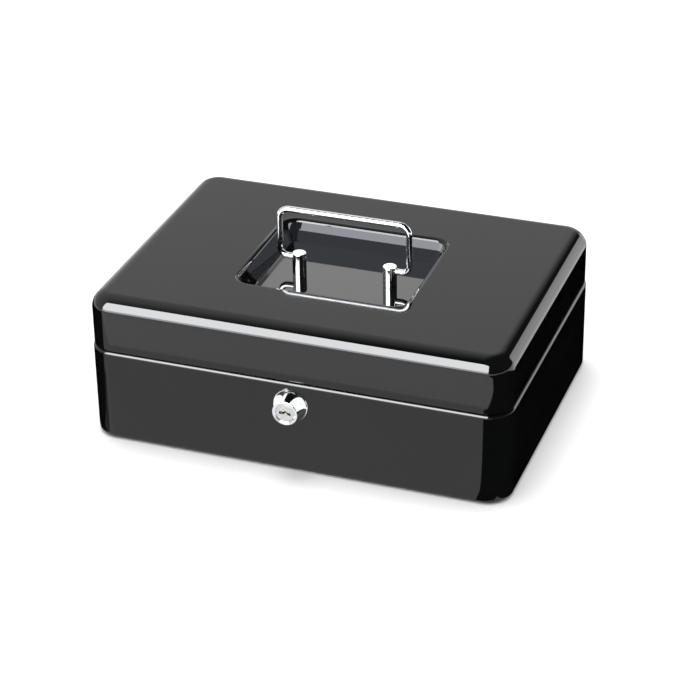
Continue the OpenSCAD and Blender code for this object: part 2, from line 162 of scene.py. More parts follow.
def loft(loops, ring=False):
    """Faces between closed loops of equal length. The ends are capped, or joined up for a ring."""
    count = len(loops[0])
    points = [p for loop in loops for p in loop]
    faces = []
    spans = len(loops) if ring else len(loops) - 1
    for k in range(spans):
        a, b = k * count, (k + 1) % len(loops) * count
        for i in range(count):
            j = (i + 1) % count
            faces.append((a + i, a + j, b + j, b + i))
    if not ring:
        faces.append(tuple(range(count)))
        faces.append(tuple(range((len(loops) - 1) * count, len(loops) * count)))
    return points, faces


def lathe(profile, centre, axis, ring=False, steps=ROUND_STEPS):
    """A profile of (radius, distance along the axis) turned about the X, Y or Z axis through centre."""
    loops = []
    for radius, along in profile:
        loop = []
        for i in range(steps):
            angle = 2 * math.pi * i / steps
            u, v = radius * math.cos(angle), radius * math.sin(angle)
            offset = {"X": (along, u, v), "Y": (u, along, v), "Z": (u, v, along)}[axis]
            loop.append(Vector(centre) + Vector(offset))
        loops.append(loop)
    return loft(loops, ring)


def extrusion(outline, axis, low, high):
    """An outline in the plane across the axis, carried from low to high along it."""
    def place(p, along):
        return {"X": (along, p[0], p[1]), "Y": (p[0], along, p[1]), "Z": (p[0], p[1], along)}[axis]
    return loft([[place(p, along) for p in outline] for along in (low, high)])


def rectangle(left, right, low, high):
    """Corners of a rectangle, anticlockwise from its lower left."""
    return [(left, low), (right, low), (right, high), (left, high)]


def rounded_loop(half_x, half_y, radius, z, centre_y=0.0):
    """Points round a rectangle with round corners, anticlockwise from its front right corner."""
    loop = []
    for sx, sy, start in ((1, -1, -90), (1, 1, 0), (-1, 1, 90), (-1, -1, 180)):
        cx = sx * (half_x - radius)
        cy = centre_y + sy * (half_y - radius)
        loop += [(x, y, z) for x, y in arc(cx, cy, radius, start, start + 90, CORNER_STEPS)]
    return loop


def bake_modifiers(obj):
    graph = bpy.context.evaluated_depsgraph_get()
    baked = bpy.data.meshes.new_from_object(obj.evaluated_get(graph))
    obj.modifiers.clear()
    obj.data = baked
    return obj


def cut(obj, *cutters):
    """Takes closed (points, faces) solids away from obj."""
    tools = []
    for i, solid in enumerate(cutters):
        tool = mesh_object(f"{obj.name}_cutter_{i}", [solid])
        modifier = obj.modifiers.new("cut", "BOOLEAN")
        modifier.operation = "DIFFERENCE"
        modifier.solver = "EXACT"
        modifier.object = tool
        tools.append(tool)
    bake_modifiers(obj)
    for tool in tools:
        bpy.data.objects.remove(tool)
    return obj


def bevel(obj, width, segments=3):
    modifier = obj.modifiers.new("bevel", "BEVEL")
    modifier.width = width
    modifier.segments = segments
    modifier.limit_method = "ANGLE"
    modifier.angle_limit = math.radians(30)
    return bake_modifiers(obj)


def smooth(obj, angle=32):
    """Smooth shading that stays flat on flat faces and sharp where the surface turns by more than angle."""
    obj.data.shade_smooth()
    obj.data.set_sharp_from_angle(angle=math.radians(angle))
    modifier = obj.modifiers.new("weighted", "WEIGHTED_NORMAL")
    modifier.keep_sharp = True
    return bake_modifiers(obj)


def bevelled_copy(node, name, width):
    """A copy of a flat-sided CAD node with its edges rounded over."""
    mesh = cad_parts[node].data.copy()
    form = bmesh.new()
    form.from_mesh(mesh)
    bmesh.ops.remove_doubles(form, verts=form.verts, dist=1e-6)
    bmesh.ops.dissolve_limit(form, angle_limit=math.radians(1), verts=form.verts, edges=form.edges)
    bmesh.ops.recalc_face_normals(form, faces=form.faces)
    form.to_mesh(mesh)
    form.free()
    mesh.materials.clear()
    return smooth(bevel(add_object(name, mesh), width))


# ---------------------------------------------------------------- materials

# The span of a noise texture's values that the ramps use
NOISE_LOW = 0.3
NOISE_HIGH = 0.7


def new_material(name):
    material = bpy.data.materials.new(name)
    material.use_nodes = True
    nodes = material.node_tree.nodes
    return material, nodes, material.node_tree.links, nodes["Principled BSDF"]


def noise(nodes, links, scale, detail=2.0, stretch=None):
    """A noise texture in the object's own metres, drawn out along an axis where stretch says so."""
    coordinates = nodes.new("ShaderNodeTexCoord")
    texture = nodes.new("ShaderNodeTexNoise")
    texture.inputs["Scale"].default_value = scale
    texture.inputs["Detail"].default_value = detail
    if stretch is None:
        links.new(coordinates.outputs["Object"], texture.inputs["Vector"])
        return texture
    mapping = nodes.new("ShaderNodeMapping")
    mapping.inputs["Scale"].default_value = stretch
    links.new(coordinates.outputs["Object"], mapping.inputs["Vector"])
    links.new(mapping.outputs["Vector"], texture.inputs["Vector"])
    return texture


def vary(nodes, links, texture, socket, low, high):
    """Drives a socket with the texture, from low to high."""
    spread = nodes.new("ShaderNodeMapRange")
    spread.inputs["From Min"].default_value = NOISE_LOW
    spread.inputs["From Max"].default_value = NOISE_HIGH
    spread.inputs["To Min"].default_value = low
    spread.inputs["To Max"].default_value = high
    links.new(texture.outputs["Fac"], spread.inputs["Value"])
    links.new(spread.outputs["Result"], socket)


def tint(nodes, links, texture, socket, dark, light):
    """Drives a colour socket with the texture, from one colour to the other."""
    ramp = nodes.new("ShaderNodeValToRGB")
    ramp.color_ramp.elements[0].position = NOISE_LOW
    ramp.color_ramp.elements[0].color = (*dark, 1)
    ramp.color_ramp.elements[1].position = NOISE_HIGH
    ramp.color_ramp.elements[1].color = (*light, 1)
    links.new(texture.outputs["Fac"], ramp.inputs["Fac"])
    links.new(ramp.outputs["Color"], socket)


def bump(nodes, links, texture, shader, strength, distance):
    relief = nodes.new("ShaderNodeBump")
    relief.inputs["Strength"].default_value = strength
    relief.inputs["Distance"].default_value = distance
    links.new(texture.outputs["Fac"], relief.inputs["Height"])
    links.new(relief.outputs["Normal"], shader.inputs["Normal"])


def enamel_material():
    """Gloss black stoving enamel: a trace of orange peel, and a gloss that varies a little."""
    material, nodes, links, shader = new_material("black_enamel")
    shader.inputs["IOR"].default_value = 1.5
    peel = noise(nodes, links, 700, 1.0)
    cloud = noise(nodes, links, 22, 3.0)
    dark, light = (0.0022, 0.0024, 0.0025), (0.0032, 0.0034, 0.0034)
    tint(nodes, links, cloud, shader.inputs["Base Color"], dark, light)
    vary(nodes, links, cloud, shader.inputs["Roughness"], 0.035, 0.06)
    bump(nodes, links, peel, shader, 0.04, 0.05 * MM)
    return material


def chrome_material():
    """Bright chrome plate with faint polishing haze."""
    material, nodes, links, shader = new_material("bright_chrome")
    shader.inputs["Metallic"].default_value = 1.0
    haze = noise(nodes, links, 260, 3.0)
    tint(nodes, links, haze, shader.inputs["Base Color"], (0.78, 0.79, 0.81), (0.86, 0.87, 0.88))
    vary(nodes, links, haze, shader.inputs["Roughness"], 0.05, 0.11)
    bump(nodes, links, haze, shader, 0.02, 0.05 * MM)
    return material


def nickel_material():
    """Nickel plug, its face turned in fine rings about the lock's axis."""
    material, nodes, links, shader = new_material("brushed_nickel")
    shader.inputs["Metallic"].default_value = 1.0
    coordinates = nodes.new("ShaderNodeTexCoord")
    mapping = nodes.new("ShaderNodeMapping")
    mapping.inputs["Location"].default_value = (0, 0, -LOCK_Z)
    rings = nodes.new("ShaderNodeTexWave")
    rings.wave_type = "RINGS"
    rings.rings_direction = "Y"
    rings.inputs["Scale"].default_value = 900
    rings.inputs["Distortion"].default_value = 6
    rings.inputs["Detail"].default_value = 3
    links.new(coordinates.outputs["Object"], mapping.inputs["Vector"])
    links.new(mapping.outputs["Vector"], rings.inputs["Vector"])
    grain = noise(nodes, links, 1800, 4.0)
    tint(nodes, links, grain, shader.inputs["Base Color"], (0.44, 0.44, 0.44), (0.66, 0.66, 0.65))
    vary(nodes, links, grain, shader.inputs["Roughness"], 0.24, 0.38)
    bump(nodes, links, rings, shader, 0.25, 0.02 * MM)
    return material


def zinc_material():
    """Zinc plate: satin, with the soft mottle of the passivated coat."""
    material, nodes, links, shader = new_material("zinc_plate")
    shader.inputs["Metallic"].default_value = 1.0
    mottle = noise(nodes, links, 420, 4.0)
    tint(nodes, links, mottle, shader.inputs["Base Color"], (0.48, 0.49, 0.50), (0.64, 0.65, 0.66))
    vary(nodes, links, mottle, shader.inputs["Roughness"], 0.26, 0.42)
    bump(nodes, links, mottle, shader, 0.08, 0.04 * MM)
    return material


def brass_material():
    material, nodes, links, shader = new_material("wafer_brass")
    shader.inputs["Metallic"].default_value = 1.0
    grain = noise(nodes, links, 900, 3.0, (1, 1, 8))
    tint(nodes, links, grain, shader.inputs["Base Color"], (0.60, 0.44, 0.18), (0.74, 0.58, 0.28))
    vary(nodes, links, grain, shader.inputs["Roughness"], 0.22, 0.36)
    return material


def plastic_material():
    """Moulded dark plastic with a fine spark-eroded grain."""
    material, nodes, links, shader = new_material("tray_plastic")
    shader.inputs["IOR"].default_value = 1.46
    grain = noise(nodes, links, 1500, 4.0)
    tint(nodes, links, grain, shader.inputs["Base Color"], (0.020, 0.021, 0.022), (0.032, 0.033, 0.035))
    vary(nodes, links, grain, shader.inputs["Roughness"], 0.38, 0.52)
    bump(nodes, links, grain, shader, 0.18, 0.06 * MM)
    return material


MATERIALS = {
    "black_enamel": enamel_material(),
    "bright_chrome": chrome_material(),
    "brushed_nickel": nickel_material(),
    "zinc_plate": zinc_material(),
    "wafer_brass": brass_material(),
    "tray_plastic": plastic_material(),
}


def place(obj, body, nodes, slot):
    """Gives a finished piece the material of its slot, parents it to its body and hides the CAD nodes it stands
    for.
    """
    obj.data.materials.clear()
    obj.data.materials.append(MATERIALS[slot])
    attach(obj, body)
    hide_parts(*nodes)
    return obj


# ---------------------------------------------------------------- the two pressings

def base_profile():
    """Section of the base as (distance in, height), from its underside to its inside floor."""
    rim_top = base_high.z
    rim_in = RIM_INSET + SHEET
    shoulder_z = SEAM_Z - SHOULDER_R
    meet = math.degrees(math.acos((SHOULDER_R - RIM_INSET) / SHOULDER_R))
    return (
        arc(BASE_BOTTOM_R, BASE_BOTTOM_R, BASE_BOTTOM_R, 270, 180, 10)
        + arc(SHOULDER_R, shoulder_z, SHOULDER_R, 180, 180 - meet, 16)
        + arc(RIM_INSET + EDGE_R, rim_top - EDGE_R, EDGE_R, 180, 90, 4)
        + arc(rim_in - EDGE_R, rim_top - EDGE_R, EDGE_R, 90, 0, 4)
        + arc(rim_in - EDGE_R, SEAM_Z - SHEET + EDGE_R, EDGE_R, 0, -90, 4)
        + arc(SHOULDER_R, shoulder_z, SHOULDER_R - SHEET, 90, 180, 8)
        + arc(BASE_BOTTOM_R, BASE_BOTTOM_R, BASE_BOTTOM_R - SHEET, 180, 270, 8)
    )


def base_pressing():
    half_x, half_y = base_high.x, base_high.y
    loops = [
        rounded_loop(half_x - inset, half_y - inset, BASE_CORNER_R - inset, z)
        for inset, z in base_profile()
    ]
    obj = mesh_object("base_pressing", [loft(loops)])
    hole_profile = [(LOCK_HOLE_R, -half_y - SHEET), (LOCK_HOLE_R, -half_y + 2 * SHEET)]
    lock_hole = lathe(hole_profile, (0, 0, LOCK_Z), "Y")
    cut(obj, lock_hole, *rivet_holes("hinge_rivets_base", half_y))
    return place(smooth(obj), "base", ["base_shell"], "black_enamel")


def middle_z(node):
    low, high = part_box(node)
    return (low.z + high.z) / 2


def rivet_holes(node, wall_y):
    z = middle_z(node)
    profile = [(RIVET_HOLE_R, wall_y - 2 * SHEET), (RIVET_HOLE_R, wall_y + SHEET)]
    return [lathe(profile, (x, 0, z), "Y") for x in RIVET_XS]


def recess_bends(offset):
    """Points of the recess section as (distance out from its rectangle, height), on the top face at offset 0
    and on the underside at offset SHEET. They run from the floor up to the rim."""
    slope = math.degrees(math.atan2(lid_high.z - RECESS_FLOOR_Z, RECESS_RUN))
    half_tan = math.tan(math.radians(slope / 2))
    rim_x = RECESS_RIM_R * half_tan
    floor_x = -RECESS_RUN - RECESS_FLOOR_R * half_tan
    floor_bend = arc(floor_x, RECESS_FLOOR_Z + RECESS_FLOOR_R, RECESS_FLOOR_R + offset, 270, 270 + slope, 8)
    rim_bend = arc(rim_x, lid_high.z - RECESS_RIM_R, RECESS_RIM_R - offset, 90 + slope, 90, 12)
    return floor_bend + rim_bend


def recess_loops(offset):
    return [
        rounded_loop(RECESS_HALF_X + out, RECESS_HALF_Y + out, RECESS_CORNER_R + out, z, RECESS_Y)
        for out, z in recess_bends(offset)
    ]


def lid_profile():
    """Section of the lid's skirt and top edge as (distance in, height), down outside and up inside."""
    top_z, hem_z = lid_high.z, lid_low.z
    inner_edge = 0.1 * MM
    return (
        arc(LID_TOP_R, top_z - LID_TOP_R, LID_TOP_R, 90, 180, 22)
        + arc(LID_HEM_R, hem_z + LID_HEM_R, LID_HEM_R, 180, 270, 8)
        + arc(SHEET - inner_edge, hem_z + inner_edge, inner_edge, 270, 360, 3)
        + arc(LID_TOP_R, top_z - LID_TOP_R, LID_TOP_R - SHEET, 180, 90, 14)
    )


def lid_pressing():
    half_x, half_y = lid_high.x, lid_high.y
    corner_r = BASE_CORNER_R - (base_high.x - half_x)
    skirt = [
        rounded_loop(half_x - inset, half_y - inset, corner_r - inset, z)
        for inset, z in lid_profile()
    ]
    obj = mesh_object("lid_pressing", [loft(recess_loops(0) + skirt + recess_loops(SHEET)[::-1])])
    screw_profile = [(SCREW_HOLE_R, RECESS_FLOOR_Z - 2 * SHEET), (SCREW_HOLE_R, RECESS_FLOOR_Z + SHEET)]
    screw_holes = [lathe(screw_profile, (sx * POST_X, 0, 0), "Z", steps=24) for sx in (-1, 1)]
    cut(obj, *screw_holes, *rivet_holes("hinge_rivets_lid", half_y))
    return place(smooth(obj), "lid", ["lid_shell"], "black_enamel")


# ---------------------------------------------------------------- the handle

def bail_path():
    """The wire's middle line in the XZ plane, from the left foot over the grip to the right foot."""
    foot_x, foot_z = BAIL_HALF_X - FOOT_BEND_R, PIVOT_Z + FOOT_BEND_R
    top_x, top_z = BAIL_HALF_X - GRIP_BEND_R, GRIP_Z - GRIP_BEND_R
    return (
        [(-WIRE_END_X, PIVOT_Z)]
        + arc(-foot_x, foot_z, FOOT_BEND_R, 270, 180, 14)
        + arc(-top_x, top_z, GRIP_BEND_R, 180, 90, 16)
        + arc(top_x, top_z, GRIP_BEND_R, 90, 0, 16)
        + arc(foot_x, foot_z, FOOT_BEND_R, 0, -90, 14)
        + [(WIRE_END_X, PIVOT_Z)]
    )


def tube(path, radius, steps=28):
    """A wire along a path in the XZ plane."""
    loops = []
    for i, (x, z) in enumerate(path):
        before = Vector(path[max(i - 1, 0)])
        after = Vector(path[min(i + 1, len(path) - 1)])
        along = (after - before).normalized()
        side = Vector((along.y, 0, -along.x))
        loop = []
        for k in range(steps):
            angle = 2 * math.pi * k / steps
            spoke = math.cos(angle) * side + math.sin(angle) * Vector((0, 1, 0))
            loop.append(Vector((x, 0, z)) + radius * spoke)
        loops.append(loop)
    return loft(loops)


def carry_bail():
    obj = mesh_object("carry_bail", [tube(bail_path(), WIRE_R)])
    return place(smooth(obj), "handle", ["handle_bail"], "bright_chrome")


def handle_post(side, node):
    """A turned post, bored from below for its screw and across for the wire."""
    bore_r, bore_top, top_r, foot_r = 2.0 * MM, PIVOT_Z - WIRE_R - 1.4 * MM, 0.5 * MM, 0.15 * MM
    floor_z, top_z = post_low.z, post_high.z
    profile = (
        [(bore_r, bore_top), (bore_r, floor_z)]
        + arc(POST_R - foot_r, floor_z + foot_r, foot_r, 270, 360, 3)
        + arc(POST_R - top_r, top_z - top_r, top_r, 0, 90, 5)
    )
    centre_x = side * POST_X
    obj = mesh_object(f"turned_post_{node.split('_')[-1]}", [lathe(profile, (centre_x, 0, 0), "Z")])
    hole_r = WIRE_R + RUN_GAP
    cut(obj, lathe([(hole_r, -2 * POST_R), (hole_r, 2 * POST_R)], (centre_x, 0, PIVOT_Z), "X", steps=32))
    return place(smooth(obj), "lid", [node], "bright_chrome")


def screw_and_washer(side):
    """Pan head screw and plain washer under the recess floor, as two closed solids."""
    low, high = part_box("handle_screws")
    washer_low, washer_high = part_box("handle_washers")
    x = side * POST_X
    head_r, shank_r = 3.6 * MM, 1.95 * MM
    head_top = washer_low.z
    head_h = head_top - low.z
    washer_r = washer_high.x - POST_X
    washer = [
        (SCREW_HOLE_R, washer_low.z), (washer_r - EDGE_R / 2, washer_low.z),
        (washer_r, washer_low.z + EDGE_R / 2), (washer_r, washer_high.z), (SCREW_HOLE_R, washer_high.z),
    ]
    screw = (
        [(shank_r - EDGE_R, high.z), (shank_r, high.z - EDGE_R), (shank_r, head_top), (head_r, head_top)]
        + arc(head_r - head_h, head_top - 0.3 * MM, head_h - 0.3 * MM, 0, -90, 6)
    )
    return lathe(screw, (x, 0, 0), "Z"), lathe(washer, (x, 0, 0), "Z", ring=True)


def handle_fasteners():
    """Both screws with their crossed slots, and both washers."""
    low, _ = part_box("handle_screws")
    slot_long, slot_short, slot_depth = 2.0 * MM, 0.4 * MM, 1.2 * MM
    screws, washers = zip(*[screw_and_washer(side) for side in (-1, 1)])
    obj = mesh_object("pan_head_screws", screws)
    slots = []
    for side in (-1, 1):
        x = side * POST_X
        for half_x, half_y in ((slot_long, slot_short), (slot_short, slot_long)):
            outline = rectangle(x - half_x, x + half_x, -half_y, half_y)
            slots.append(extrusion(outline, "Z", low.z - MM, low.z + slot_depth))
    cut(obj, *slots)
    place(smooth(obj), "lid", ["handle_screws"], "zinc_plate")
    place(smooth(mesh_object("plain_washers", washers)), "lid", ["handle_washers"], "zinc_plate")


# ---------------------------------------------------------------- the lock

def lock_bezel():
    """Chromed housing: conical bezel with a rolled front edge, and a threaded barrel through the wall."""
    front_y, back_y = housing_low.y, housing_high.y
    wall_y = base_low.y
    edge_r, groove_r, groove_d = 0.6 * MM, 6.3 * MM, 0.2 * MM
    groove_y = front_y + 0.15 * MM
    chamfer_w, chamfer_y = 0.25 * MM, front_y + 0.35 * MM
    flange_w, flange_y, flange_edge_y = 0.35 * MM, wall_y - 1.2 * MM, wall_y - 0.8 * MM
    thread_pitch, thread_d = 1.0 * MM, 0.35 * MM
    bezel = (
        [(PLUG_HOLE_R, back_y), (PLUG_HOLE_R, chamfer_y), (PLUG_HOLE_R + chamfer_w, groove_y)]
        + [(groove_r - groove_d, groove_y), (groove_r, front_y)]
        + arc(BEZEL_FACE_R - edge_r, front_y + edge_r, edge_r, -90, -10, 6)
        + [(BEZEL_BASE_R - flange_w, flange_y), (BEZEL_BASE_R, flange_edge_y), (BEZEL_BASE_R, wall_y)]
        + [(BARREL_R, wall_y), (BARREL_R, wall_y + 1.5 * SHEET)]
    )
    turns = int((back_y - wall_y - 3 * MM) / thread_pitch)
    for turn in range(turns):
        y = wall_y + 2 * MM + turn * thread_pitch
        bezel += [(BARREL_R - thread_d, y + thread_pitch / 2), (BARREL_R, y + thread_pitch)]
    bezel.append((BARREL_R - thread_d, back_y))
    obj = mesh_object("lock_bezel", [lathe(bezel, (0, 0, LOCK_Z), "Y", ring=True, steps=72)])
    return place(smooth(obj, 26), "base", ["lock_housing"], "bright_chrome")


def key_slot():
    """Outline of the keyway in the XZ plane: a slot with a ward that steps it up at the middle."""
    half, thick, step = 3.5 * MM, 0.85 * MM, 0.8 * MM
    outline = [
        (-half, -thick), (-0.2 * half, -thick), (0.1 * half, thick - step / 2), (0.35 * half, -thick),
        (half, -thick - step / 2), (half, thick - step / 2), (0.45 * half, thick),
        (0.1 * half, thick + step), (-0.25 * half, thick), (-half, thick),
    ]
    return [(x, LOCK_Z + z) for x, z in outline]


def key_plug():
    """The plug, with the keyway cut in its face and the square stub that carries the cam."""
    front_y, back_y = plug_low.y, plug_high.y
    keyway_depth = 7 * MM
    stub, stub_y = 3.0 * MM, back_y - 1.5 * MM
    edge = 0.2 * MM
    barrel = lathe(
        [(PLUG_R - edge, front_y), (PLUG_R, front_y + edge), (PLUG_R, stub_y)], (0, 0, LOCK_Z), "Y", steps=64
    )
    square = rectangle(-stub, stub, LOCK_Z - stub, LOCK_Z + stub)
    obj = mesh_object("key_plug", [barrel, extrusion(square, "Y", stub_y - 0.01 * MM, back_y)])
    cut(obj, extrusion(key_slot(), "Y", front_y - MM, front_y + keyway_depth))
    return place(smooth(obj), "lock_core", ["lock_plug"], "brushed_nickel")


def lock_hardware():
    """The nut, cam, cam screw and keeper that show inside the box."""
    nut = bevelled_copy("lock_nut", "hex_nut", 0.4 * MM)
    place(nut, "base", ["lock_nut"], "zinc_plate")
    washer = bevelled_copy("lock_washer", "barrel_washer", 0.15 * MM)
    place(washer, "base", ["lock_washer"], "zinc_plate")
    cam = bevelled_copy("lock_cam", "cam_plate", 0.35 * MM)
    place(cam, "lock_core", ["lock_cam"], "zinc_plate")
    keeper = bevelled_copy("lid_keeper", "cam_keeper", 0.3 * MM)
    place(keeper, "lid", ["lid_keeper"], "zinc_plate")
    wafers = bevelled_copy("lock_wafers", "wafer_stack", 0.08 * MM)
    place(wafers, "lock_core", ["lock_wafers"], "wafer_brass")
    place(cam_screw(), "lock_core", ["lock_cam_screw"], "zinc_plate")


def cam_screw():
    """The screw that holds the cam, domed and slotted."""
    low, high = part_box("lock_cam_screw")
    head_r = (high.x - low.x) / 2
    shank_r, head_h, dome_r = 1.45 * MM, 2.0 * MM, 1.4 * MM
    slot_half, slot_depth = 0.4 * MM, 0.9 * MM
    head_y = high.y - head_h
    shank = [(shank_r - EDGE_R, low.y), (shank_r, low.y + EDGE_R), (shank_r, head_y)]
    dome = arc(head_r - dome_r, high.y - dome_r, dome_r, 0, 90, 6)
    profile = shank + [(head_r, head_y)] + dome
    obj = mesh_object("cam_head_screw", [lathe(profile, (0, 0, LOCK_Z), "Y")])
    outline = rectangle(-head_r, head_r, LOCK_Z - slot_half, LOCK_Z + slot_half)
    return smooth(cut(obj, extrusion(outline, "Y", high.y - slot_depth, high.y + MM)))


# ---------------------------------------------------------------- the hinge

def knuckle_span(i):
    length = (2 * LEAF_HALF_X - (KNUCKLES - 1) * KNUCKLE_GAP) / KNUCKLES
    start = -LEAF_HALF_X + i * (length + KNUCKLE_GAP)
    return start, start + length


def hinge_leaf(name, node, wall_y, up, first):
    """A leaf with round corners and curled knuckles. up is 1 above the pin and -1 below it."""
    low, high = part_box(node)
    edge_z = high.z if up > 0 else low.z
    near_z = HINGE_Z + up * (KNUCKLE_R + 0.5 * MM)
    root_z = HINGE_Z + FIT_GAP if up > 0 else HINGE_Z
    strip_z = near_z + up * 0.2 * MM
    half, radius = LEAF_HALF_X, 3.0 * MM
    far = edge_z - up * radius
    corners = (
        [(-half, near_z)]
        + arc(-half + radius, far, radius, 180, 180 - 90 * up, 8)
        + arc(half - radius, far, radius, 90 * up, 0, 8)
        + [(half, near_z)]
    )
    islands = [extrusion(corners, "Y", wall_y, wall_y + LEAF_T)]
    for i in range(first, KNUCKLES, 2):
        start, end = knuckle_span(i)
        bore_r = PIN_R + RUN_GAP
        islands.append(lathe(
            [(bore_r, start), (KNUCKLE_R, start), (KNUCKLE_R, end), (bore_r, end)],
            (0, HINGE_Y, HINGE_Z), "X", ring=True,
        ))
        strip = [(wall_y, strip_z), (wall_y, root_z), (wall_y + LEAF_T, root_z), (wall_y + LEAF_T, strip_z)]
        islands.append(extrusion(strip, "X", start, end))
    obj = bevel(mesh_object(name, islands), 0.18 * MM)
    body = "lid" if up > 0 else "base"
    z = middle_z(f"hinge_rivets_{body}")
    profile = [(RIVET_HOLE_R, wall_y - MM), (RIVET_HOLE_R, wall_y + 2 * LEAF_T)]
    cut(obj, *[lathe(profile, (x, 0, z), "Y", steps=24) for x in RIVET_XS])
    return place(smooth(obj), body, [node], "black_enamel")


def rivet_row(name, node, body):
    """Four rivets with domed heads on both sides of the wall."""
    low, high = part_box(node)
    z = middle_z(node)
    in_y, out_y = low.y + RIVET_HEAD_H, high.y - RIVET_HEAD_H
    inside = [(RIVET_HEAD_R * math.sin(t), in_y - RIVET_HEAD_H * math.cos(t)) for t in quarter(8)]
    outside = [(RIVET_HEAD_R * math.cos(t), out_y + RIVET_HEAD_H * math.sin(t)) for t in quarter(8)]
    profile = inside + [(RIVET_R, in_y), (RIVET_R, out_y)] + outside
    rivets = [lathe(profile, (x, 0, z), "Y", steps=32) for x in RIVET_XS]
    return place(smooth(mesh_object(name, rivets)), body, [node], "zinc_plate")


def quarter(steps):
    """Angles over a quarter turn, both ends left a little short so that no ring closes to a point."""
    margin = 0.06
    return [margin + (math.pi / 2 - 2 * margin) * i / steps for i in range(steps + 1)]


def hinge_rod():
    head_r, head_l = PIN_R + 0.7 * MM, 1.0 * MM
    end = pin_high.x
    domes = [(head_r * math.cos(t), end - head_l / 2 + head_l / 2 * math.sin(t)) for t in quarter(6)]
    half = [(PIN_R, end - head_l), (head_r, end - head_l)] + domes
    profile = [(r, -x) for r, x in half[::-1]] + half
    obj = mesh_object("hinge_rod", [lathe(profile, (0, HINGE_Y, HINGE_Z), "X", steps=32)])
    return place(smooth(obj), "base", ["hinge_pin"], "zinc_plate")


# ---------------------------------------------------------------- the coin tray

TRAY_CORNER_R = 13.0 * MM
TRAY_T = 1.8 * MM
NOTCH_HALF_X = 28.0 * MM
NOTCH_D = 16.0 * MM


def tray_loop(inset, z):
    """The tray's outline at a height, moved in by inset. Each corner has its outward signs and its radius;
    a negative radius marks the two hollow corners at the back of the notch."""
    right, front, back = tray_high.x, tray_low.y, tray_high.y
    notch_back = front + NOTCH_D
    lip_r, hollow_r = 5.0 * MM, -2.5 * MM
    corners = [
        (NOTCH_HALF_X, front, -1, -1, lip_r), (right, front, 1, -1, TRAY_CORNER_R),
        (right, back, 1, 1, TRAY_CORNER_R), (-right, back, -1, 1, TRAY_CORNER_R),
        (-right, front, -1, -1, TRAY_CORNER_R), (-NOTCH_HALF_X, front, 1, -1, lip_r),
        (-NOTCH_HALF_X, notch_back, 1, -1, hollow_r), (NOTCH_HALF_X, notch_back, -1, -1, hollow_r),
    ]
    starts = {(1, -1): -90, (1, 1): 0, (-1, 1): 90, (-1, -1): 180}
    loop = []
    for x, y, sx, sy, radius in corners:
        radius -= inset
        start, sweep = starts[sx, sy], 90
        if radius < 0 and radius + inset < 0:
            start, sweep = start + 270, -90
        cx = x - (inset + radius) * sx
        cy = y - (inset + radius) * sy
        loop += [(px, py, z) for px, py in arc(cx, cy, abs(radius), start, start + sweep, 10)]
    return loop


def tray_moulding():
    floor_z, rim_z = tray_low.z, tray_high.z
    foot_r, lip_r, well_r = 1.5 * MM, 0.6 * MM, 2.0 * MM
    inner_floor = floor_z + TRAY_T
    profile = (
        arc(foot_r, floor_z + foot_r, foot_r, 270, 180, 5)
        + arc(lip_r, rim_z - lip_r, lip_r, 180, 90, 5)
        + arc(TRAY_T - lip_r, rim_z - lip_r, lip_r, 90, 0, 5)
        + arc(TRAY_T + well_r, inner_floor + well_r, well_r, 180, 270, 6)
    )
    obj = mesh_object("tray_moulding", [loft([tray_loop(inset, z) for inset, z in profile])])
    grip_r = 13.0 * MM
    grip_z = rim_z + grip_r / 3
    grips = []
    for side in (-1, 1):
        x = side * tray_high.x
        grips.append(lathe([(grip_r, x - 3 * MM), (grip_r, x + 3 * MM)], (0, 0, grip_z), "X", steps=64))
    cut(obj, *grips)
    return place(smooth(obj), "tray", ["coin_tray"], "tray_plastic")


def tray_parts():
    for name in ("tray_divider_long", "tray_dividers_front", "tray_dividers_rear"):
        piece = bevelled_copy(name, name.replace("tray_", "moulded_"), 0.5 * MM)
        place(piece, "tray", [name], "tray_plastic")
    for side in ("left", "right"):
        piece = bevelled_copy(f"tray_ledge_{side}", f"folded_ledge_{side}", 0.25 * MM)
        place(piece, "base", [f"tray_ledge_{side}"], "black_enamel")


# ---------------------------------------------------------------- stage, light and camera

DIM_BLUE = (0.8, 0.87, 1)
PALE_BLUE = (0.9, 0.93, 1)
CARD_GAP = 0.05 * MM
WALL_CARD_GAP = 0.3 * MM
FLOOR_CARD_Z = 0.3 * MM


def camera_back():
    """Direction from the target to the camera."""
    az, el = math.radians(CAMERA_AZIMUTH), math.radians(CAMERA_ELEVATION)
    return Vector((math.sin(az) * math.cos(el), -math.cos(az) * math.cos(el), math.sin(el)))


def camera_position():
    return CAMERA_TARGET + camera_back() * CAMERA_DISTANCE


def emission(name, colour, strength):
    """An emitting material, and the socket of its strength."""
    material = bpy.data.materials.new(name)
    material.use_nodes = True
    nodes = material.node_tree.nodes
    nodes.remove(nodes["Principled BSDF"])
    glow = nodes.new("ShaderNodeEmission")
    glow.inputs["Color"].default_value = (*colour, 1)
    glow.inputs["Strength"].default_value = strength
    material.node_tree.links.new(glow.outputs["Emission"], nodes["Material Output"].inputs["Surface"])
    return material, glow.inputs["Strength"]


def reflected_only(obj, material):
    """Makes obj part of the studio that only shows in reflections."""
    obj.data.materials.append(material)
    obj.visible_camera = False
    obj.visible_diffuse = False
    obj.visible_shadow = False
    obj.visible_transmission = False


def card(name, corners, strength, colour=(1, 1, 1)):
    obj = mesh_object(name, [(corners, [tuple(range(len(corners)))])])
    reflected_only(obj, emission(name, colour, strength)[0])


